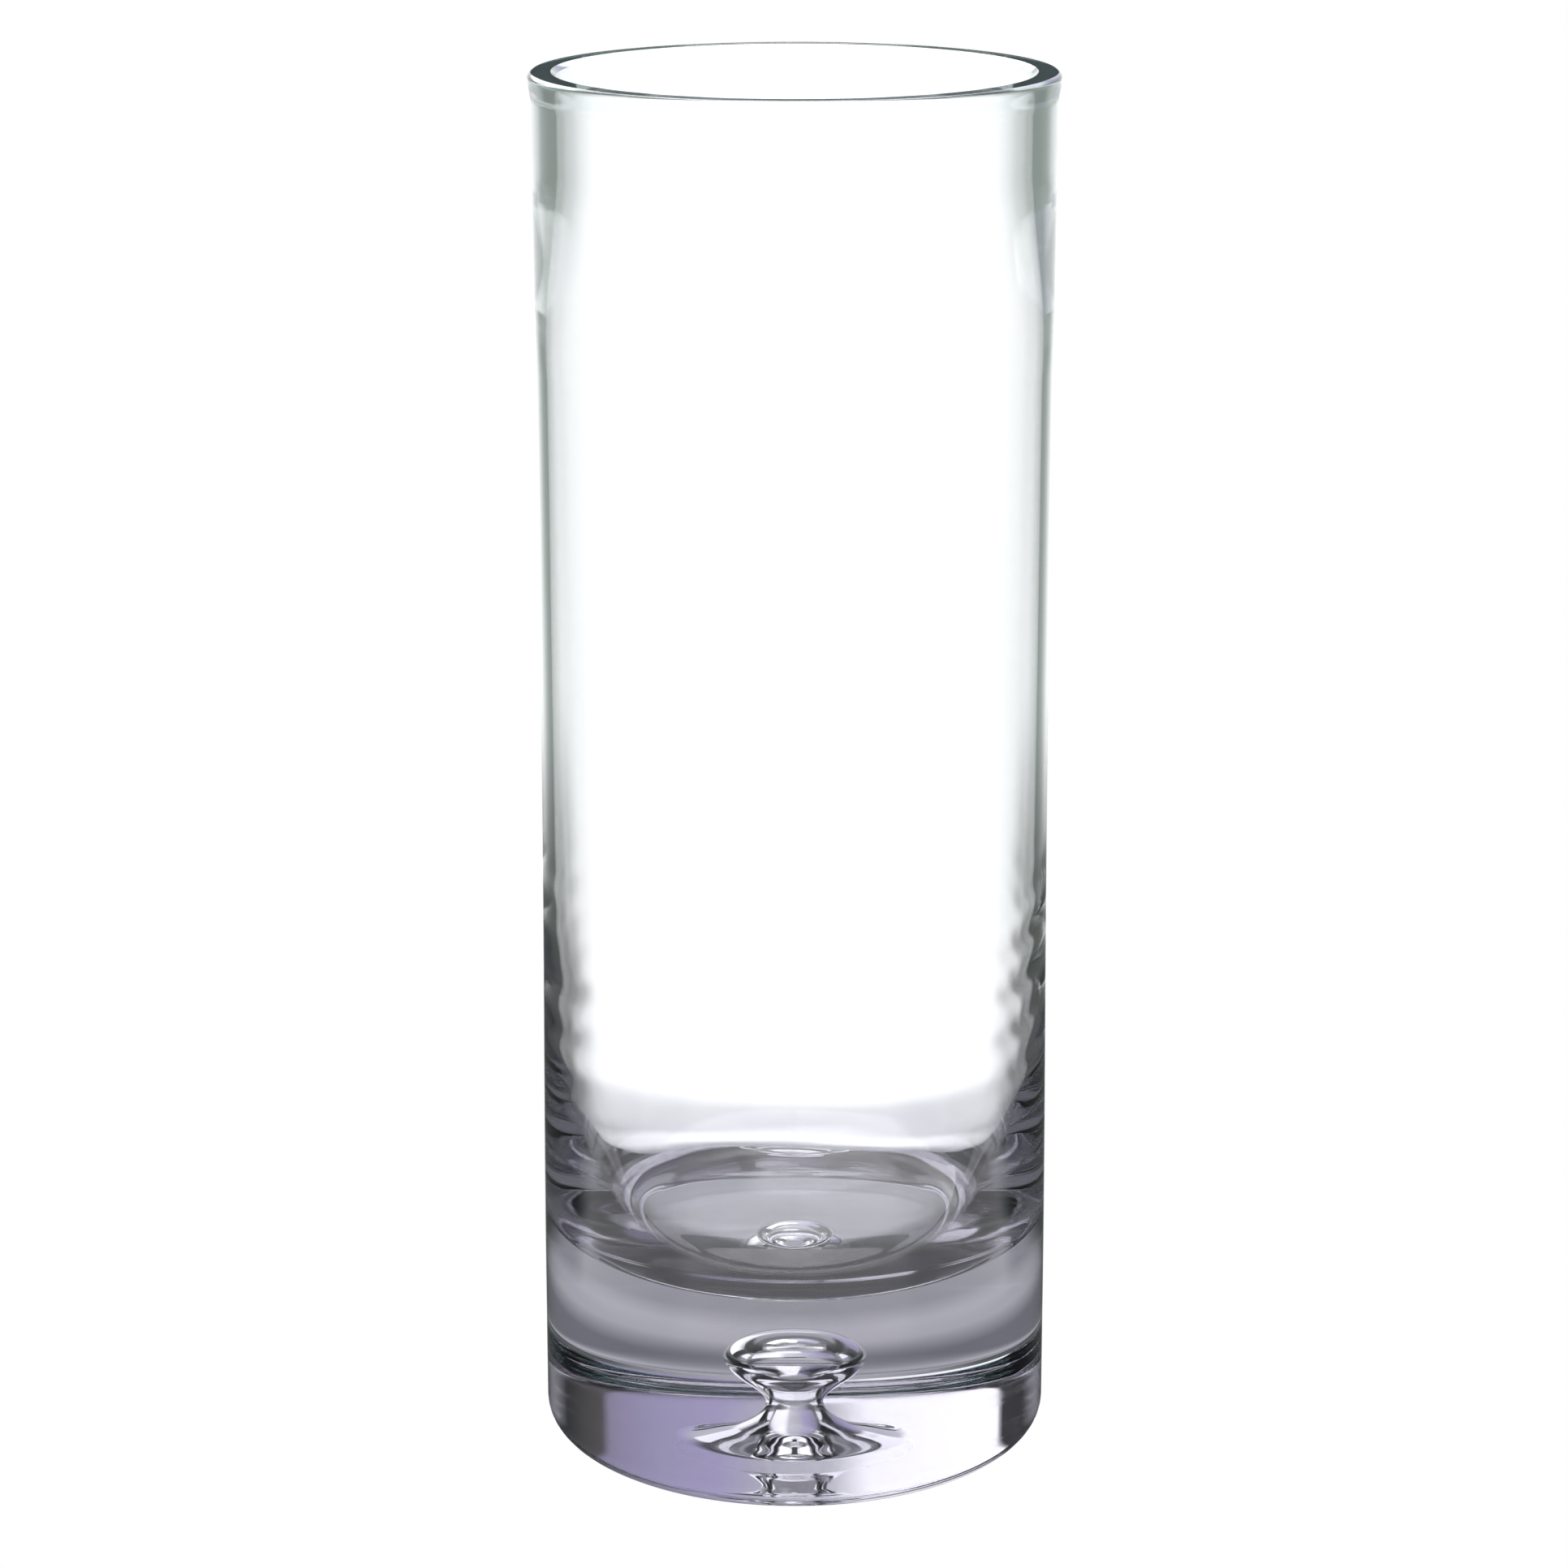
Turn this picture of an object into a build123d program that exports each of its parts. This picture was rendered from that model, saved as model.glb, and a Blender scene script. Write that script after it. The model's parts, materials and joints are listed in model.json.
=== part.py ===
from build123d import *

import math
import os

# Mouth-blown clear glass cylinder vase with a heavy base that traps one mushroom-shaped air bubble.
# Every piece is a solid of revolution about Z. Millimetres, +Z up, origin at the centre of the foot.
# The vase is one fused body of glass. Its nodes are the gathers and worked zones that it is made of,
# and they meet face to face along their seams.

# Driving dimensions
HEIGHT = 300.0
OUTER_RADIUS = 55.0
BODY_BORE = 52.15         # inner radius of the drawn wall, which is about 3 mm thick
MOUTH_BORE = 49.5         # inner radius of the thick, straight land inside the mouth
MOUTH_LAND = 18.5         # height of that land below the lip's inner bevel

# Lip
LIP_HEIGHT = 6.0          # height of the lip ring, down to its seam with the wall
BEAD_RADIUS = 55.5        # widest radius of the fire-polished bead
BEAD_EDGE = 1.15          # radius of the rounded outer edge of the ground top
INNER_BEVEL = 1.0         # bevel between the ground top and the bore
LIP_SEAM = HEIGHT - LIP_HEIGHT

# Shoulder, where the thick mouth thins to the drawn wall
SHOULDER_TOP = HEIGHT - INNER_BEVEL - MOUTH_LAND
SHOULDER_MIDDLE = (51.6, 253.0)
SHOULDER_BOTTOM = 238.0

# Bowl, the rounded bottom of the cavity
BOWL_TOP = 124.0          # where the straight bore ends
WALL_SEAM = 105.0         # seam of the drawn wall with the cup and the base
SEAM_BORE = 52.05         # inner radius at that seam
SEAM_LEAN = 0.012         # slope of the bore there, outwards for each millimetre up
BOWL_SIDE = ((39.0, 45.2), (43.1, 49.8), (47.0, 59.0), (50.0, 72.1), (51.7, 88.0))
FLOOR_CENTRE = 38.3
FLOOR_RADIUS = 33.0
FLOOR_EDGE = 43.05        # height of the dished floor's edge
FLOOR_SLOPE = 0.27        # rise of the floor for each millimetre outwards, at its edge
CUP_FLOOR = 4.5           # thickness of the cup under its floor
CUP_SIDE = ((44.0, 43.5), (49.5, 57.0), (52.4, 76.0))
CUP_SEAM_RADIUS = 53.5    # outer radius of the cup where it meets the drawn wall

# Foot
FOOT_EDGE_RADIUS = 6.0
SEAL_THICKNESS = 1.5      # glass under the bubble
SEAL_RIM_HEIGHT = 8.0     # height of the seal's seam at the outside
SEAL_RIM_SLOPE = 0.32

# Bubble: a domed head, a neck and a flared skirt that lies on the seal
BUBBLE_TOP = 27.7
BUBBLE_SIDE = (
    (7.2, 25.8), (10.2, 21.4), (8.9, 17.5), (6.4, 14.8),
    (4.1, 11.1), (5.7, 7.4), (8.9, 4.7), (11.6, 3.5),
)
SKIRT_RADIUS = 16.9
SKIRT_SLOPE = 0.12

UP, DOWN, OUT = (0, 0, 1), (0, 0, -1), (1, 0, 0)
DIAGONAL = math.cos(math.radians(45))


def at(radius, height):
    """A point of a section, in the XZ plane."""
    return Vector(radius, 0, height)


def turned(*edges):
    """The solid of revolution about Z of a closed outline."""
    return revolve(make_face(edges), Axis.Z, 360)


def floor_arc(drop):
    """The dished floor, or its parallel a given distance below it, from the axis to its edge."""
    rise = FLOOR_EDGE - FLOOR_CENTRE
    middle = at(FLOOR_RADIUS / 2, FLOOR_CENTRE + rise / 4 - drop)
    return ThreePointArc(at(0, FLOOR_CENTRE - drop), middle, at(FLOOR_RADIUS, FLOOR_EDGE - drop))


def bowl_side():
    """The cavity's side from the floor's edge up to the seam with the drawn wall."""
    points = [at(FLOOR_RADIUS, FLOOR_EDGE), *(at(*point) for point in BOWL_SIDE), at(SEAM_BORE, WALL_SEAM)]
    return Spline(points, tangents=[(1, 0, FLOOR_SLOPE), (SEAM_LEAN, 0, 1)])


def cup_side():
    """The cup's outer side, from below the floor's edge up to the seam with the drawn wall."""
    start, end = at(FLOOR_RADIUS, FLOOR_EDGE - CUP_FLOOR), at(CUP_SEAM_RADIUS, WALL_SEAM)
    return Spline([start, *(at(*point) for point in CUP_SIDE), end], tangents=[(1, 0, FLOOR_SLOPE), UP])


def bubble_side():
    """The bubble's outline from its top over the domed head, the neck and the flared skirt."""
    points = [at(0, BUBBLE_TOP), *(at(*point) for point in BUBBLE_SIDE), at(SKIRT_RADIUS, SEAL_THICKNESS)]
    return Spline(points, tangents=[OUT, (1, 0, -SKIRT_SLOPE)])


def seal_seam():
    """The seal's seam, from the tip of the bubble's skirt to the outside."""
    start, end = at(SKIRT_RADIUS, SEAL_THICKNESS), at(OUTER_RADIUS, SEAL_RIM_HEIGHT)
    return Spline([start, end], tangents=[OUT, (1, 0, SEAL_RIM_SLOPE)])


def rim():
    """Thick lip: outer bead, rounded edge, ground flat top and inner bevel."""
    bead_top = HEIGHT - BEAD_EDGE
    top_outer = BEAD_RADIUS - BEAD_EDGE
    top_inner = MOUTH_BORE + INNER_BEVEL
    edge_middle = at(top_outer + BEAD_EDGE * DIAGONAL, bead_top + BEAD_EDGE * DIAGONAL)
    return turned(
        Line(at(MOUTH_BORE, LIP_SEAM), at(OUTER_RADIUS, LIP_SEAM)),
        Spline([at(OUTER_RADIUS, LIP_SEAM), at(BEAD_RADIUS, bead_top)], tangents=[UP, UP]),
        ThreePointArc(at(BEAD_RADIUS, bead_top), edge_middle, at(top_outer, HEIGHT)),
        Line(at(top_outer, HEIGHT), at(top_inner, HEIGHT)),
        Line(at(top_inner, HEIGHT), at(MOUTH_BORE, HEIGHT - INNER_BEVEL)),
        Line(at(MOUTH_BORE, HEIGHT - INNER_BEVEL), at(MOUTH_BORE, LIP_SEAM)),
    )


def cylinder_wall():
    """Drawn tube from the cup's seam to the lip, thickening inwards over the shoulder."""
    shoulder = [at(MOUTH_BORE, SHOULDER_TOP), at(*SHOULDER_MIDDLE), at(BODY_BORE, SHOULDER_BOTTOM)]
    return turned(
        Line(at(SEAM_BORE, WALL_SEAM), at(OUTER_RADIUS, WALL_SEAM)),
        Line(at(OUTER_RADIUS, WALL_SEAM), at(OUTER_RADIUS, LIP_SEAM)),
        Line(at(OUTER_RADIUS, LIP_SEAM), at(MOUTH_BORE, LIP_SEAM)),
        Line(at(MOUTH_BORE, LIP_SEAM), at(MOUTH_BORE, SHOULDER_TOP)),
        Spline(shoulder, tangents=[DOWN, DOWN]),
        Line(at(BODY_BORE, SHOULDER_BOTTOM), at(BODY_BORE, BOWL_TOP)),
        Spline([at(BODY_BORE, BOWL_TOP), at(SEAM_BORE, WALL_SEAM)], tangents=[DOWN, (-SEAM_LEAN, 0, -1)]),
    )


def inner_floor():
    """Cup of the first gather: the dished floor and the side that flares up to the drawn wall."""
    return turned(
        Line(at(0, FLOOR_CENTRE - CUP_FLOOR), at(0, FLOOR_CENTRE)),
        floor_arc(0),
        bowl_side(),
        Line(at(SEAM_BORE, WALL_SEAM), at(CUP_SEAM_RADIUS, WALL_SEAM)),
        cup_side(),
        floor_arc(CUP_FLOOR),
    )


def solid_base():
    """Heavy gather around the cup, with the socket that is the upper side of the bubble."""
    return turned(
        Line(at(0, BUBBLE_TOP), at(0, FLOOR_CENTRE - CUP_FLOOR)),
        floor_arc(CUP_FLOOR),
        cup_side(),
        Line(at(CUP_SEAM_RADIUS, WALL_SEAM), at(OUTER_RADIUS, WALL_SEAM)),
        Line(at(OUTER_RADIUS, WALL_SEAM), at(OUTER_RADIUS, SEAL_RIM_HEIGHT)),
        seal_seam(),
        bubble_side(),
    )


def foot_seal():
    """Last gather, which closes the bubble from below and ends in the ground flat foot."""
    foot_radius = OUTER_RADIUS - FOOT_EDGE_RADIUS
    reach = FOOT_EDGE_RADIUS * DIAGONAL
    edge_middle = at(foot_radius + reach, FOOT_EDGE_RADIUS - reach)
    return turned(
        Line(at(0, 0), at(0, SEAL_THICKNESS)),
        Line(at(0, SEAL_THICKNESS), at(SKIRT_RADIUS, SEAL_THICKNESS)),
        seal_seam(),
        Line(at(OUTER_RADIUS, SEAL_RIM_HEIGHT), at(OUTER_RADIUS, FOOT_EDGE_RADIUS)),
        ThreePointArc(at(OUTER_RADIUS, FOOT_EDGE_RADIUS), edge_middle, at(foot_radius, 0)),
        Line(at(foot_radius, 0), at(0, 0)),
    )


os.makedirs("parts", exist_ok=True)
for make_node in (rim, cylinder_wall, inner_floor, solid_base, foot_seal):
    export_step(make_node(), f"parts/{make_node.__name__}.step")
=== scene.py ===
import json
import math

import bpy
import numpy as np
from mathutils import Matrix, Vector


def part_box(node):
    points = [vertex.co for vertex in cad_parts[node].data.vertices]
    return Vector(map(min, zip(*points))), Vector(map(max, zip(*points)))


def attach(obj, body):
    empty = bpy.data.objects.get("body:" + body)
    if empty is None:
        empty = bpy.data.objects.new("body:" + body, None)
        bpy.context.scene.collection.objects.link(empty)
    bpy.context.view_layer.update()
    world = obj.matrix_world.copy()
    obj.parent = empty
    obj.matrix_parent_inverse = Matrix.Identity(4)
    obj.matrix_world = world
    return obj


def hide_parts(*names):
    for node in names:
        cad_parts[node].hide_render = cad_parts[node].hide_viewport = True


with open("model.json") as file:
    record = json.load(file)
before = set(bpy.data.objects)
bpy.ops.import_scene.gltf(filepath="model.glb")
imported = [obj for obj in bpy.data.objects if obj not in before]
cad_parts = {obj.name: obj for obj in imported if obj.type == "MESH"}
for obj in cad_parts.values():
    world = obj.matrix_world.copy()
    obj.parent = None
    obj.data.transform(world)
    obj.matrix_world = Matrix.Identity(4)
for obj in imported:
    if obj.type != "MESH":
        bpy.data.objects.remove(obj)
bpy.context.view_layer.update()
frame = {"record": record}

# Mouth-blown clear glass cylinder vase with a heavy base that traps one mushroom-shaped air bubble.
# Five closed meshes, turned about Z, stand for the five CAD nodes. Light crosses their shared seams
# without a trace. The glass stands in plain white, and it refracts and mirrors a studio of pale and dark
# areas, whose floor has painted light and shade.

MM = 0.001

# ---------------------------------------------------------------- driving sizes, in millimetres

RIM_LOW, RIM_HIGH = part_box("rim")
WALL_LOW, WALL_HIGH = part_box("cylinder_wall")
SEAL_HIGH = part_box("foot_seal")[1]
MOUTH = next(mount["dims"] for mount in frame["record"]["mounts"] if mount["name"] == "mouth")

BOX_MARGIN = 0.03         # keeps the round bead inside the box of the faceted one
HEIGHT = RIM_HIGH.z / MM
OUTER_RADIUS = WALL_HIGH.x / MM
BEAD_RADIUS = RIM_HIGH.x / MM - BOX_MARGIN
LIP_SEAM = RIM_LOW.z / MM
WALL_SEAM = WALL_LOW.z / MM
SEAL_RIM_HEIGHT = SEAL_HIGH.z / MM
MOUTH_BORE = MOUTH["r_mm"]
MOUTH_LAND = MOUTH["length_mm"]

# The hand-blown side is a little wider at the base and narrower at the waist than the nominal cylinder.
BASE_SWELL = 0.35
BASE_RADIUS = OUTER_RADIUS + BASE_SWELL
BLOWN_SIDE = ((55.3, 60.0), (54.95, WALL_SEAM), (54.65, 160.0), (54.85, 260.0))

# Lip and mouth
BEAD_EDGE = 1.15          # radius of the rounded outer edge of the ground top
INNER_BEVEL = 1.0
BODY_BORE = 52.15         # inner radius of the drawn wall
SHOULDER_TOP = HEIGHT - INNER_BEVEL - MOUTH_LAND
SHOULDER_MIDDLE = (51.6, 253.0)
SHOULDER_BOTTOM = 238.0

# Bowl, the rounded bottom of the cavity, and the cup around it
BOWL_TOP = 124.0
SEAM_BORE = 52.05         # inner radius at the drawn wall's seam
SEAM_LEAN = 0.012         # slope of the bore there, outwards for each millimetre up
BOWL_SIDE = ((51.7, 88.0), (50.0, 72.1), (47.0, 59.0), (43.1, 49.8), (39.0, 45.2))
FLOOR_CENTRE = 38.3
FLOOR_RADIUS = 33.0
FLOOR_EDGE = 43.05        # height of the dished floor's edge
FLOOR_SLOPE = 0.27
CUP_FLOOR = 4.5           # thickness of the cup under its floor
CUP_SIDE = ((44.0, 43.5), (49.5, 57.0), (52.4, 76.0))
CUP_SEAM_RADIUS = 53.5

# Foot and bubble
FOOT_EDGE_RADIUS = 6.0
SEAL_THICKNESS = 1.5      # glass under the bubble
SEAL_RIM_SLOPE = 0.32
BUBBLE_TOP = 27.7
BUBBLE_SIDE = (
    (7.2, 25.8), (10.2, 21.4), (8.9, 17.5), (6.4, 14.8),
    (4.1, 11.1), (5.7, 7.4), (8.9, 4.7), (11.6, 3.5),
)
SKIRT_RADIUS = 16.9
SKIRT_SLOPE = 0.12

# Low waves that blowing left on the inner surface, above the bowl. Their pattern is invented.
WAVE_HEIGHT = 0.06
WAVE_LENGTH = 16.0
WAVES_MIDDLE, WAVES_REACH = 101.0, 27.0      # heights that they fade out above and below
WAVES_TOP = 150.0                            # height up to which the bore needs a finer mesh
WAVES_FROM, WAVES_FADE_IN = 44.0, 4.0        # radius where they start, and over which they grow
WAVES_TO, WAVES_FADE_OUT = 53.5, 1.3         # radius where they end, and over which they die away
WAVE_TILTS = ((2.0, 1, 0.7), (1.1, 2, -0.4))    # size, turns round the vase and phase
WAVE_BEAT = 0.37                             # length of a wave over that of the groups they come in
RIPPLE_RATE, RIPPLE_SHARE = 1.7, 0.5         # finer ripples: how many to a wave, and how high
SWELLS = ((1.0, 3, 13.0), (0.6, 7, -9.0))    # size, turns round the vase and millimetres up per radian
SWELL_SHARE = 0.8

# Mesh
SEGMENTS = 288
SAMPLE = 1.0              # longest step along a curved section
QUARTER_STEPS = 10        # steps in a rounded edge
FLOOR_STEPS = 30
ON_AXIS = 1e-9            # radius of a row of points that is one point on the axis
NEAR_AXIS = 1.0           # radius within which a normal comes from the section alone
SAME_PLACE = 1e-8         # points closer than about this are one, in metres

UP, DOWN, OUT = (0, 1), (0, -1), (1, 0)      # directions in a section
DIAGONAL = math.sqrt(0.5)

# ---------------------------------------------------------------- sections, as points (radius, height)


def line(start, end, step=6.0):
    """Evenly spaced points from start to end."""
    start, end = np.array(start, float), np.array(end, float)
    count = max(1, math.ceil(np.linalg.norm(end - start) / step))
    return start + (end - start) * np.linspace(0, 1, count + 1)[:, None]


def spline(knots, start, end, step=SAMPLE):
    """A clamped cubic spline through knots, leaving along start and arriving along end."""
    knots = np.array(knots, float)
    gaps = np.linalg.norm(np.diff(knots, axis=0), axis=1)
    count = len(knots)
    system, known = np.eye(count), np.zeros((count, 2))
    known[0], known[-1] = (np.array(way, float) / np.linalg.norm(way) for way in (start, end))
    for i in range(1, count - 1):
        before, after = gaps[i - 1], gaps[i]
        system[i, i - 1:i + 2] = after, 2 * (before + after), before
        known[i] = 3 * (
            before * (knots[i + 1] - knots[i]) / after + after * (knots[i] - knots[i - 1]) / before
        )
    slopes = np.linalg.solve(system, known)
    rows = [knots[:1]]
    for i, gap in enumerate(gaps):
        t = np.linspace(0, 1, max(2, math.ceil(gap / step)) + 1)[1:, None]
        rows.append(
            (2 * t**3 - 3 * t**2 + 1) * knots[i] + (t**3 - 2 * t**2 + t) * gap * slopes[i]
            + (3 * t**2 - 2 * t**3) * knots[i + 1] + (t**3 - t**2) * gap * slopes[i + 1]
        )
    return np.vstack(rows)


def arc(start, middle, end, count):
    """Points on the circle through three points."""
    start, middle, end = (np.array(point, float) for point in (start, middle, end))
    system = 2 * np.stack([middle - start, end - start])
    known = [middle @ middle - start @ start, end @ end - start @ start]
    centre = np.linalg.solve(system, known)
    first, last = (math.atan2(*(point - centre)[::-1]) for point in (start, end))
    sweep = (last - first + math.pi) % (2 * math.pi) - math.pi
    angles = first + sweep * np.linspace(0, 1, count + 1)
    radius = np.linalg.norm(start - centre)
    return centre + radius * np.stack([np.cos(angles), np.sin(angles)], axis=1)


def chain(*runs):
    """Joins runs that each start where the last one ends."""
    return np.vstack([runs[0]] + [run[1:] for run in runs[1:]])


def foot_section():
    """From the centre of the foot over its rounded edge to the outer wall at the seal's seam."""
    inner = BASE_RADIUS - FOOT_EDGE_RADIUS
    reach = FOOT_EDGE_RADIUS * DIAGONAL
    edge_start, edge_end = (inner, 0), (BASE_RADIUS, FOOT_EDGE_RADIUS)
    return chain(
        line((0, 0), edge_start, step=3.0),
        arc(edge_start, (inner + reach, FOOT_EDGE_RADIUS - reach), edge_end, QUARTER_STEPS),
        line(edge_end, (BASE_RADIUS, SEAL_RIM_HEIGHT), step=1.5),
    )


def lip_section():
    """Bead, rounded edge and ground top of the lip, from its seam to its inner bevel."""
    bead_top = HEIGHT - BEAD_EDGE
    top_outer = BEAD_RADIUS - BEAD_EDGE
    reach = BEAD_EDGE * DIAGONAL
    edge_start, edge_end = (BEAD_RADIUS, bead_top), (top_outer, HEIGHT)
    return chain(
        spline([(OUTER_RADIUS, LIP_SEAM), edge_start], UP, UP, step=0.4),
        arc(edge_start, (top_outer + reach, bead_top + reach), edge_end, QUARTER_STEPS),
        line(edge_end, (MOUTH_BORE + INNER_BEVEL, HEIGHT), step=0.8),
    )


def wall_bore():
    """The inner surface from the lip's seam over the shoulder and down the drawn wall."""
    shoulder_top, shoulder_end = (MOUTH_BORE, SHOULDER_TOP), (BODY_BORE, SHOULDER_BOTTOM)
    waves_top, bowl_top = (BODY_BORE, WAVES_TOP), (BODY_BORE, BOWL_TOP)
    return chain(
        line((MOUTH_BORE, LIP_SEAM), shoulder_top, step=2.0),
        spline([shoulder_top, SHOULDER_MIDDLE, shoulder_end], DOWN, DOWN),
        line(shoulder_end, waves_top, step=3.0),
        line(waves_top, bowl_top, step=SAMPLE),
        spline([bowl_top, (SEAM_BORE, WALL_SEAM)], DOWN, (-SEAM_LEAN, -1)),
    )


def bowl():
    """The cavity's side from the drawn wall's seam down to the edge of the floor."""
    knots = [(SEAM_BORE, WALL_SEAM), *BOWL_SIDE, (FLOOR_RADIUS, FLOOR_EDGE)]
    return spline(knots, (-SEAM_LEAN, -1), (-1, -FLOOR_SLOPE))


def floor_arc(drop):
    """The dished floor, or its parallel a given distance below it, from its edge to the axis."""
    rise = FLOOR_EDGE - FLOOR_CENTRE
    middle = (FLOOR_RADIUS / 2, FLOOR_CENTRE + rise / 4 - drop)
    return arc((FLOOR_RADIUS, FLOOR_EDGE - drop), middle, (0, FLOOR_CENTRE - drop), FLOOR_STEPS)


def cup():
    """The outside of the cup, from the axis up to the drawn wall's seam."""
    knots = [(FLOOR_RADIUS, FLOOR_EDGE - CUP_FLOOR), *CUP_SIDE, (CUP_SEAM_RADIUS, WALL_SEAM)]
    return chain(floor_arc(CUP_FLOOR)[::-1], spline(knots, (1, FLOOR_SLOPE), UP, step=2.0))


def bubble():
    """The bubble's outline from its top over the domed head, the neck and the flared skirt."""
    knots = [(0, BUBBLE_TOP), *BUBBLE_SIDE, (SKIRT_RADIUS, SEAL_THICKNESS)]
    return spline(knots, OUT, (1, -SKIRT_SLOPE), step=0.35)


def sections():
    """Every section by name. Pieces that meet share one, so that their faces match."""
    side_knots = [(BASE_RADIUS, SEAL_RIM_HEIGHT), *BLOWN_SIDE, (OUTER_RADIUS, LIP_SEAM)]
    outer_side = spline(side_knots, UP, UP, step=2.5)
    seam_row = int(np.argmin(abs(outer_side[:, 1] - WALL_SEAM)))
    bevel_top, bevel_end = (MOUTH_BORE + INNER_BEVEL, HEIGHT), (MOUTH_BORE, HEIGHT - INNER_BEVEL)
    skirt_tip, seal_rim = (SKIRT_RADIUS, SEAL_THICKNESS), (BASE_RADIUS, SEAL_RIM_HEIGHT)
    cup_rim = (CUP_SEAM_RADIUS, WALL_SEAM)
    return {
        "foot": foot_section(),
        "base_side": outer_side[:seam_row + 1],
        "wall_side": outer_side[seam_row:],
        "lip": lip_section(),
        "lip_bevel": line(bevel_top, bevel_end, step=0.4),
        "lip_bore": line(bevel_end, (MOUTH_BORE, LIP_SEAM), step=1.0),
        "lip_seam": line((OUTER_RADIUS, LIP_SEAM), (MOUTH_BORE, LIP_SEAM)),
        "wall_bore": wall_bore(),
        "wall_seam_outer": line(outer_side[seam_row], cup_rim),
        "wall_seam_inner": line(cup_rim, (SEAM_BORE, WALL_SEAM)),
        "bowl": bowl(),
        "floor": floor_arc(0),
        "cup": cup(),
        "bubble": bubble(),
        "bubble_floor": line(skirt_tip, (0, SEAL_THICKNESS), step=1.0),
        "seal_seam": spline([skirt_tip, seal_rim], OUT, (1, SEAL_RIM_SLOPE), step=2.0),
    }


SECTIONS = sections()

# ---------------------------------------------------------------- turned meshes

ANGLES = np.arange(SEGMENTS) * 2 * math.pi / SEGMENTS


def waves(points):
    """Points moved in or out by the waves of the inner surface, which fade out before the outer one."""
    turn, height = np.arctan2(points[..., 1], points[..., 0]), points[..., 2]
    radius = np.linalg.norm(points[..., :2], axis=-1)
    strength = np.exp(-((height - WAVES_MIDDLE) / WAVES_REACH) ** 4)
    strength *= np.clip((radius - WAVES_FROM) / WAVES_FADE_IN, 0, 1)
    strength *= np.clip((WAVES_TO - radius) / WAVES_FADE_OUT, 0, 1)
    tilt = sum(size * np.sin(turns * turn + phase) for size, turns, phase in WAVE_TILTS)
    climb = 2 * math.pi * height / WAVE_LENGTH
    rings = np.sin(climb + 2 * tilt) * np.sin(WAVE_BEAT * climb - tilt)
    rings += RIPPLE_SHARE * np.sin(RIPPLE_RATE * climb - 3 * tilt)
    swells = sum(size * np.sin(turns * turn + height / pitch) for size, turns, pitch in SWELLS)
    push = WAVE_HEIGHT * strength * (rings + SWELL_SHARE * swells)
    moved = points.copy()
    moved[..., :2] *= (1 + push / np.maximum(radius, NEAR_AXIS))[..., None]
    return moved


def turned_patch(profile):
    """Grid of points and outward normals of one section of an outline, turned about Z."""
    tangent = np.gradient(profile, axis=0)
    tangent /= np.linalg.norm(tangent, axis=1)[:, None]
    spin = np.stack([np.cos(ANGLES), np.sin(ANGLES)], axis=1)

    def spun(rows):
        flat = rows[:, None, :1] * spin[None]
        return np.concatenate([flat, np.repeat(rows[:, None, 1:], SEGMENTS, axis=1)], axis=2)

    points = waves(spun(profile))
    normals = spun(np.stack([tangent[:, 1], -tangent[:, 0]], axis=1))
    along = np.gradient(points, axis=0)
    around = np.roll(points, -1, axis=1) - np.roll(points, 1, axis=1)
    clear = np.linalg.norm(points[..., :2], axis=-1) > NEAR_AXIS
    exact = np.cross(around, along)[clear]
    normals[clear] = exact / np.linalg.norm(exact, axis=-1)[:, None]
    return points, normals


def patch_faces(grid, start):
    """Faces between the rows of a grid whose points count up from start, with triangles at a pole."""
    index = start + np.arange(len(grid) * SEGMENTS).reshape(len(grid), SEGMENTS)
    ahead = np.roll(index, -1, axis=1)
    poles = np.linalg.norm(grid[:, 0, :2], axis=1) < ON_AXIS
    faces = []
    for row in range(len(grid) - 1):
        for k in range(SEGMENTS):
            face = [index[row, k], ahead[row, k], ahead[row + 1, k], index[row + 1, k]]
            if poles[row]:
                face.pop(1)
            elif poles[row + 1]:
                face.pop(2)
            faces.append(face)
    return faces


def turned_piece(name, node, glass, outline):
    """One closed piece from its outline, given anticlockwise as (section, way along it, material)."""
    points, normals, faces, kinds = [], [], [], []
    start = 0
    for section, way, kind in outline:
        grid, grid_normals = turned_patch(SECTIONS[section][::way])
        points.append(grid.reshape(-1, 3))
        normals.append(grid_normals.reshape(-1, 3))
        patch = patch_faces(grid, start)
        faces.extend(patch)
        kinds.extend([kind] * len(patch))
        start += len(grid) * SEGMENTS
    points = np.vstack(points) * MM
    normals = np.vstack(normals)
    places = np.round(points / SAME_PLACE)
    _, first, merged = np.unique(places, axis=0, return_index=True, return_inverse=True)
    merged = merged.reshape(-1)
    mesh = bpy.data.meshes.new(name)
    mesh.from_pydata(points[first].tolist(), [], [[int(merged[v]) for v in face] for face in faces])
    mesh.materials.append(glass)
    mesh.materials.append(FUSED_SEAM)
    mesh.polygons.foreach_set("material_index", kinds)
    mesh.polygons.foreach_set("use_smooth", [True] * len(faces))
    mesh.normals_split_custom_set([normals[v].tolist() for face in faces for v in face])
    mesh.update()
    piece = bpy.data.objects.new(name, mesh)
    bpy.context.scene.collection.objects.link(piece)
    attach(piece, "root")
    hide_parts(node)


# ---------------------------------------------------------------- materials

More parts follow.
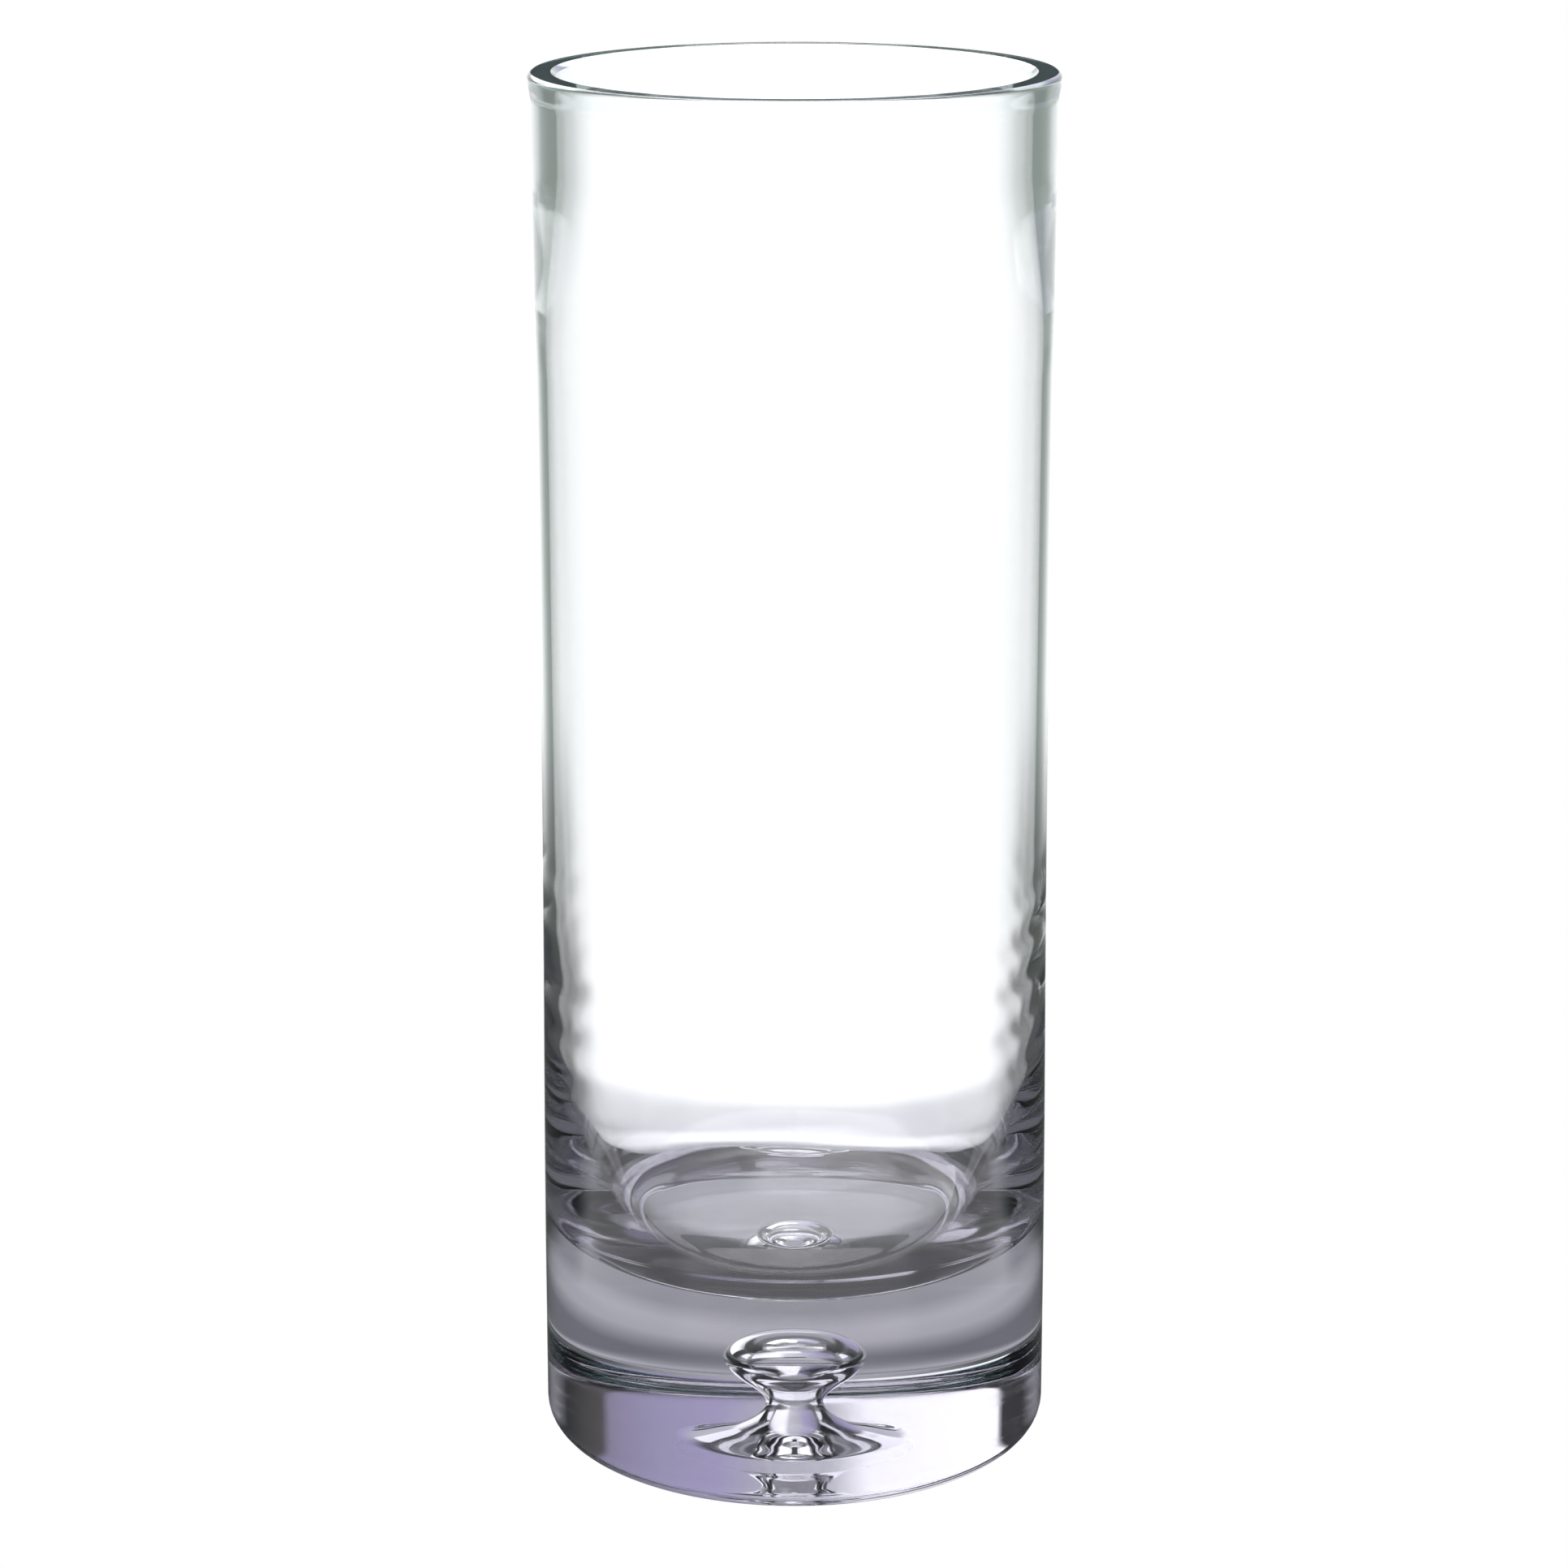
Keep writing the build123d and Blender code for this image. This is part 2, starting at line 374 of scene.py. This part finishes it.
TINT_DEPTH = 0.1                             # metres of glass that leave the tints below
RIM_TINT = (0.30, 0.42, 0.40)
WALL_TINT = (0.48, 0.56, 0.53)
BASE_TINT = (0.33, 0.325, 0.355)
GLASS_IOR = 1.5
SWELL_SCALE, SWELL_DEPTH = 28.0, 0.000012    # faint blown swells, per metre, and metres
GRAIN_SCALE, GRAIN_EDGES = 900.0, (0.2, 0.8)
LIP_ROUGHNESS = 0.06                         # at the grain's strongest
SCUFF_SCALE, SCUFF_EDGES = 160.0, (0.50, 0.62)
SCUFF_HEIGHT = 0.0006                        # metres above the table that scuffs reach
SCUFF_ROUGHNESS = 0.12


class Tree:
    """Short names for making and linking the nodes of one shader."""

    def __init__(self, owner):
        owner.use_nodes = True
        self.nodes, self.links = owner.node_tree.nodes, owner.node_tree.links
        self.nodes.clear()

    def put(self, kind, **settings):
        """A new node with its settings."""
        node = self.nodes.new(kind)
        for name, value in settings.items():
            setattr(node, name, value)
        return node

    def feed(self, socket, value):
        """Links another socket to this one, or sets this one's value."""
        if isinstance(value, bpy.types.NodeSocket):
            self.links.new(value, socket)
        else:
            socket.default_value = value

    def output(self, kind, shader):
        """Ends the shader."""
        self.feed(self.put(kind).inputs["Surface"], shader)

    def split(self, place):
        """The X, Y and Z of a place."""
        node = self.put("ShaderNodeSeparateXYZ")
        self.feed(node.inputs[0], place)
        return (node.outputs[axis] for axis in "XYZ")

    def math(self, operation, *values):
        node = self.put("ShaderNodeMath", operation=operation)
        for socket, value in zip(node.inputs, values):
            self.feed(socket, value)
        return node.outputs[0]

    def both(self, first, second):
        """The product of two strengths."""
        return self.math("MULTIPLY", first, second)

    def smooth(self, value, start, full):
        """0 on one side of start and 1 on the other side of full, with a soft step between them."""
        node = self.put("ShaderNodeMapRange", interpolation_type="SMOOTHSTEP")
        self.feed(node.inputs["Value"], value)
        node.inputs["From Min"].default_value = start
        node.inputs["From Max"].default_value = full
        return node.outputs["Result"]

    def mix(self, factor, first, second, blend="MIX"):
        """First where the factor is 0, and second where it is 1."""
        node = self.put("ShaderNodeMixRGB", blend_type=blend)
        self.feed(node.inputs["Fac"], factor)
        for socket, colour in zip(list(node.inputs)[1:], (first, second)):
            self.feed(socket, colour if isinstance(colour, bpy.types.NodeSocket) else (*colour, 1))
        return node.outputs[0]

    def ramp(self, value, stops):
        """Colours by value, from (value, colour) pairs."""
        low, high = stops[0][0], stops[-1][0]
        node = self.put("ShaderNodeValToRGB")
        elements = node.color_ramp.elements
        for _ in stops[2:]:
            elements.new(0.5)
        for element, (place, colour) in zip(elements, stops):
            element.position = (place - low) / (high - low)
            element.color = (*colour, 1)
        span = self.put("ShaderNodeMapRange")
        self.feed(span.inputs["Value"], value)
        span.inputs["From Min"].default_value = low
        span.inputs["From Max"].default_value = high
        self.feed(node.inputs["Fac"], span.outputs["Result"])
        return node.outputs["Color"]

    def noise(self, place, scale):
        node = self.put("ShaderNodeTexNoise")
        node.inputs["Scale"].default_value = scale
        node.inputs["Detail"].default_value = 2.0
        self.feed(node.inputs["Vector"], place)
        return node.outputs["Fac"]

    def azimuth(self, x, y):
        """Degrees from +Y towards +X."""
        return self.math("DEGREES", self.math("ARCTAN2", x, y))

    def seen_white(self, colour):
        """The same colour for every ray but the camera's own, which meet a plain white studio."""
        camera_ray = self.put("ShaderNodeLightPath").outputs["Is Camera Ray"]
        return self.mix(camera_ray, colour, (1, 1, 1))


def depth_tint(tree, left):
    """White on the way into the glass, and on the way out the colour that its depth leaves.

    Left is what light keeps of each colour after TINT_DEPTH.
    """
    depth = tree.math("MULTIPLY", tree.put("ShaderNodeLightPath").outputs["Ray Length"], 1 / TINT_DEPTH)
    channels = tree.put("ShaderNodeCombineColor")
    for socket, share in zip(channels.inputs, left):
        tree.feed(socket, tree.math("POWER", share, depth))
    way_out = tree.put("ShaderNodeNewGeometry").outputs["Backfacing"]
    return tree.mix(way_out, (1, 1, 1), channels.outputs[0])


def grain(tree, place):
    """The very slight, uneven roughness of a ground and polished lip."""
    marks = tree.smooth(tree.noise(place, GRAIN_SCALE), *GRAIN_EDGES)
    return tree.math("MULTIPLY_ADD", marks, LIP_ROUGHNESS / 2, LIP_ROUGHNESS / 2)


def scuffs(tree, place):
    """Small matt marks where the foot rubs on a table."""
    _, _, height = tree.split(place)
    worn = tree.math("MULTIPLY", tree.smooth(height, SCUFF_HEIGHT, 0), SCUFF_ROUGHNESS)
    return tree.both(worn, tree.smooth(tree.noise(place, SCUFF_SCALE), *SCUFF_EDGES))


def clear_glass(name, tint, roughness=None):
    """Clear glass with faint blown swells, smooth unless a roughness function is given."""
    material = bpy.data.materials.new(name)
    tree = Tree(material)
    place = tree.put("ShaderNodeTexCoord").outputs["Object"]
    bump = tree.put("ShaderNodeBump")
    bump.inputs["Strength"].default_value = 1.0
    bump.inputs["Distance"].default_value = SWELL_DEPTH
    tree.feed(bump.inputs["Height"], tree.noise(place, SWELL_SCALE))
    glass = tree.put("ShaderNodeBsdfGlass")
    glass.inputs["IOR"].default_value = GLASS_IOR
    tree.feed(glass.inputs["Color"], depth_tint(tree, tint))
    tree.feed(glass.inputs["Normal"], bump.outputs["Normal"])
    tree.feed(glass.inputs["Roughness"], roughness(tree, place) if roughness else 0.0)
    tree.output("ShaderNodeOutputMaterial", glass.outputs["BSDF"])
    return material


def seam_material():
    """Nothing at all to see: the gathers are fused, so light crosses their seams without a trace."""
    material = bpy.data.materials.new("fused_seam")
    tree = Tree(material)
    tree.output("ShaderNodeOutputMaterial", tree.put("ShaderNodeBsdfTransparent").outputs["BSDF"])
    return material


FUSED_SEAM = seam_material()
RIM_GLASS = clear_glass("rim_glass", RIM_TINT, grain)
WALL_GLASS = clear_glass("wall_glass", WALL_TINT)
BASE_GLASS = clear_glass("base_glass", BASE_TINT)
FOOT_GLASS = clear_glass("foot_glass", BASE_TINT, scuffs)

# ---------------------------------------------------------------- pieces

GLASS, SEAM = 0, 1
ALONG, BACK = 1, -1

turned_piece("lip_ring", "rim", RIM_GLASS, [
    ("lip", ALONG, GLASS),
    ("lip_bevel", ALONG, GLASS),
    ("lip_bore", ALONG, GLASS),
    ("lip_seam", BACK, SEAM),
])
turned_piece("drawn_wall", "cylinder_wall", WALL_GLASS, [
    ("wall_side", ALONG, GLASS),
    ("lip_seam", ALONG, SEAM),
    ("wall_bore", ALONG, GLASS),
    ("wall_seam_inner", BACK, SEAM),
    ("wall_seam_outer", BACK, SEAM),
])
turned_piece("cup_gather", "inner_floor", BASE_GLASS, [
    ("cup", ALONG, SEAM),
    ("wall_seam_inner", ALONG, SEAM),
    ("bowl", ALONG, GLASS),
    ("floor", ALONG, GLASS),
])
turned_piece("base_gather", "solid_base", BASE_GLASS, [
    ("bubble", ALONG, GLASS),
    ("seal_seam", ALONG, SEAM),
    ("base_side", ALONG, GLASS),
    ("wall_seam_outer", ALONG, SEAM),
    ("cup", BACK, SEAM),
])
turned_piece("foot_gather", "foot_seal", FOOT_GLASS, [
    ("foot", ALONG, GLASS),
    ("seal_seam", BACK, SEAM),
    ("bubble_floor", ALONG, GLASS),
])

# ---------------------------------------------------------------- studio floor, distances in metres

# Azimuths are in degrees, from +Y behind the vase towards +X. A pair of numbers such as (88, 72) says
# where an area starts to show and where it is at full strength.
FLOOR_SIZE = 60.0
FLOOR_DROP = 0.0003                     # keeps the floor clear of the foot
FLOOR_LIGHT = (1.30, 1.31, 1.34)
# colour of the painted shade on the floor's sides behind the vase; the horizon's band uses it too, for the
# dim light at those sides
SHADED_SIDES = (0.28, 0.32, 0.30)
SHADE_RAMP = (                          # the floor by its distance from the axis, with the vase's shade
    (0.052, (0.50, 0.51, 0.55)),
    (0.069, (0.50, 0.51, 0.56)),
    (0.079, (1.25, 1.26, 1.32)),
    (0.088, (1.25, 1.26, 1.32)),
    (0.098, (0.80, 0.81, 0.87)),
    (0.125, (0.90, 0.91, 0.96)),
    (0.160, FLOOR_LIGHT),
)
WEDGE_APEX = 0.20                       # how far in front of the axis the wedge of lit floor starts
WEDGE_ENDS = (88, 72)                   # azimuths where its sides of painted shade end, beside the vase
SIDE_SHADE_EDGES = (9.5, 28.0)               # angles from the wedge's middle line where the sides darken with painted shade
FLAG_SHADE_EDGES = (9.5, 15.5)                # the same for the painted shade of dark flags near the vase, which are not modelled
FLAG_SHADE_REACH = (0.70, 0.34)               # distances where the flags' painted shade starts and is at full strength
# colour of the flags' painted shade on the floor
FLAG_SHADE_COLOUR = (0.09, 0.10, 0.095)
FRONT_AREAS = (                         # azimuths, distances and colour of painted light and shade, each over the ones before
    ((128, 142), (0.45, 0.40), (1.90, 1.90, 1.95)),       # what the front lamps light most
    ((70, 100), (0.30, 0.60), (0.66, 0.69, 0.68)),        # the floor further out
    ((62, 80), (0.155, 0.135), (0.05, 0.05, 0.06)),       # the shade close around the foot
)


def floor_light(tree, position):
    """The painted light and shade of the floor at a position."""
    x, y, _ = tree.split(position)
    length = tree.put("ShaderNodeVectorMath", operation="LENGTH")
    tree.feed(length.inputs[0], position)
    distance = length.outputs["Value"]
    turn = tree.math("ABSOLUTE", tree.azimuth(x, y))
    from_middle = tree.azimuth(tree.math("ABSOLUTE", x), tree.math("ADD", y, WEDGE_APEX))
    behind = tree.smooth(turn, *WEDGE_ENDS)
    # painted shade on the floor's sides, behind the vase
    sweep = tree.both(tree.smooth(from_middle, *SIDE_SHADE_EDGES), behind)
    # painted shade of dark flags near the vase, which are not modelled
    flag_shade = tree.both(tree.smooth(from_middle, *FLAG_SHADE_EDGES), behind)
    flag_shade = tree.both(flag_shade, tree.smooth(distance, *FLAG_SHADE_REACH))
    light = tree.mix(sweep, tree.ramp(distance, SHADE_RAMP), SHADED_SIDES)
    light = tree.mix(flag_shade, light, FLAG_SHADE_COLOUR)
    for turns, distances, colour in FRONT_AREAS:
        area = tree.both(tree.smooth(turn, *turns), tree.smooth(distance, *distances))
        light = tree.mix(area, light, colour)
    return light


def studio_floor():
    """One large square that glows with painted light and shade, in place of the light that falls on it."""
    half = FLOOR_SIZE / 2
    mesh = bpy.data.meshes.new("studio_floor")
    corners = [(-half, -half, 0), (half, -half, 0), (half, half, 0), (-half, half, 0)]
    mesh.from_pydata(corners, [], [(0, 1, 2, 3)])
    floor = bpy.data.objects.new("studio_floor", mesh)
    floor.location.z = -FLOOR_DROP
    bpy.context.scene.collection.objects.link(floor)
    material = bpy.data.materials.new("studio_floor")
    tree = Tree(material)
    light = floor_light(tree, tree.put("ShaderNodeNewGeometry").outputs["Position"])
    glow = tree.put("ShaderNodeEmission")
    tree.feed(glow.inputs["Color"], tree.seen_white(light))
    tree.output("ShaderNodeOutputMaterial", glow.outputs[0])
    mesh.materials.append(material)


# ---------------------------------------------------------------- studio walls and lamps, angles in degrees

HORIZON_RAMP = (                        # light just above the floor, by azimuth
    (-180, (0.70, 0.70, 0.75)),
    (-75, (0.60, 0.60, 0.65)),
    (-60, SHADED_SIDES),
    (-34, SHADED_SIDES),
    (-22, (0.86, 0.88, 0.89)),
    (-10, FLOOR_LIGHT),
    (10, FLOOR_LIGHT),
    (22, (0.86, 0.88, 0.89)),
    (34, SHADED_SIDES),
    (60, SHADED_SIDES),
    (75, (0.60, 0.60, 0.65)),
    (180, (0.70, 0.70, 0.75)),
)
BACKDROP_RAMP = (                       # the same above the horizon's band
    (-180, (0.80, 0.80, 0.85)),
    (-75, (0.95, 0.95, 1.00)),
    (-60, (0.08, 0.09, 0.08)),
    (-47, (0.12, 0.12, 0.12)),
    (-45, (3.60, 3.60, 3.65)),
    (-12, (3.60, 3.60, 3.65)),
    (-6, (1.90, 1.90, 2.00)),
    (4, (1.60, 1.60, 1.75)),
    (12, (1.30, 1.20, 1.75)),
    (26, (1.05, 0.98, 1.40)),
    (38, (0.80, 0.74, 1.02)),
    (41, (0.26, 0.25, 0.24)),
    (60, (0.06, 0.07, 0.06)),
    (75, (0.95, 0.95, 1.00)),
    (180, (0.80, 0.80, 0.85)),
)
HORIZON_EDGES = (10, 8)                 # elevations where the horizon's band gives way to the backdrop
BACKDROP_EDGES = (60, 30)               # elevations where the backdrop's light ends
AMBIENT = (0.06, 0.07, 0.065)           # the room above it
GAP_COLOUR = (0.10, 0.13, 0.135)        # dark gap behind the vase, which the flat top of the lip mirrors
GAP_LOW, GAP_HIGH, GAP_SOFTNESS = 4.8, 9.5, 0.4
GAP_SIDES = (8.0, 7.0)
SOFTBOXES = (                           # azimuth, elevation, half sizes, edge softness and colour
    ("upper_panel", -5, 44, 9, 12, 3, (3.4, 3.4, 3.6)),
    ("front_left_canopy", -124, 54, 56, 28, 6, (3.3, 3.3, 3.45)),
    ("front_right_canopy", 124, 54, 56, 28, 6, (2.9, 2.9, 3.05)),
)


def within(tree, value, middle, half, soft):
    """1 within half a width of the middle and 0 beyond it, with a soft edge."""
    apart = tree.math("ABSOLUTE", tree.math("SUBTRACT", value, middle))
    return tree.smooth(apart, half + soft / 2, half - soft / 2)


def studio_world():
    """Everything that the glass refracts and mirrors above the floor."""
    world = bpy.data.worlds.new("studio_world")
    bpy.context.scene.world = world
    tree = Tree(world)
    x, y, z = tree.split(tree.put("ShaderNodeTexCoord").outputs["Generated"])
    azimuth = tree.azimuth(x, y)
    elevation = tree.math("DEGREES", tree.math("ARCSINE", z))
    light = tree.mix(tree.smooth(elevation, *BACKDROP_EDGES), AMBIENT, tree.ramp(azimuth, BACKDROP_RAMP))
    light = tree.mix(tree.smooth(elevation, *HORIZON_EDGES), light, tree.ramp(azimuth, HORIZON_RAMP))
    above = tree.smooth(elevation, GAP_LOW - GAP_SOFTNESS, GAP_LOW)
    below = tree.smooth(elevation, GAP_HIGH, GAP_HIGH - GAP_SOFTNESS)
    gap = tree.both(tree.both(above, below), tree.smooth(tree.math("ABSOLUTE", azimuth), *GAP_SIDES))
    light = tree.mix(gap, light, GAP_COLOUR)
    for name, turn, height, half_width, half_height, soft, colour in SOFTBOXES:
        across = within(tree, azimuth, turn, half_width, soft)
        shape = tree.both(across, within(tree, elevation, height, half_height, soft))
        shape.node.label = name
        light = tree.mix(shape, light, colour, blend="LIGHTEN")
    background = tree.put("ShaderNodeBackground")
    tree.feed(background.inputs["Color"], tree.seen_white(light))
    tree.output("ShaderNodeOutputWorld", background.outputs[0])


# ---------------------------------------------------------------- camera and render

CAMERA_DISTANCE = 0.9241                # metres in front of the axis
CAMERA_HEIGHT = 0.40405
CAMERA_PITCH = math.radians(15.575)     # downwards
CAMERA_LENS, CAMERA_SENSOR = 101.78, 36.0
CAMERA_SHIFT = -0.00678                 # sets the vase a little to the right of the frame's middle
CAMERA_CLIP = 100.0
LIGHT_BOUNCES = 32
SEAM_CROSSINGS = 64
INDIRECT_CLAMP = 8.0


def studio_camera():
    """A camera straight in front of the vase, above it and tilted down, with plain colours."""
    data = bpy.data.cameras.new("studio_camera")
    data.sensor_width = CAMERA_SENSOR
    data.lens = CAMERA_LENS
    data.clip_end = CAMERA_CLIP
    data.shift_x = CAMERA_SHIFT
    camera = bpy.data.objects.new("studio_camera", data)
    camera.location = (0, -CAMERA_DISTANCE, CAMERA_HEIGHT)
    camera.rotation_euler = (math.pi / 2 - CAMERA_PITCH, 0, 0)
    bpy.context.scene.collection.objects.link(camera)
    bpy.context.scene.camera = camera
    bpy.context.scene.view_settings.view_transform = "Standard"


def light_paths():
    """Enough bounces for light to cross every wall of the glass and its seams."""
    cycles = bpy.context.scene.cycles
    cycles.max_bounces = LIGHT_BOUNCES
    cycles.transmission_bounces = LIGHT_BOUNCES
    cycles.glossy_bounces = LIGHT_BOUNCES
    cycles.transparent_max_bounces = SEAM_CROSSINGS
    cycles.caustics_refractive = True
    cycles.caustics_reflective = True
    cycles.sample_clamp_indirect = INDIRECT_CLAMP


studio_floor()
studio_world()
studio_camera()
light_paths()
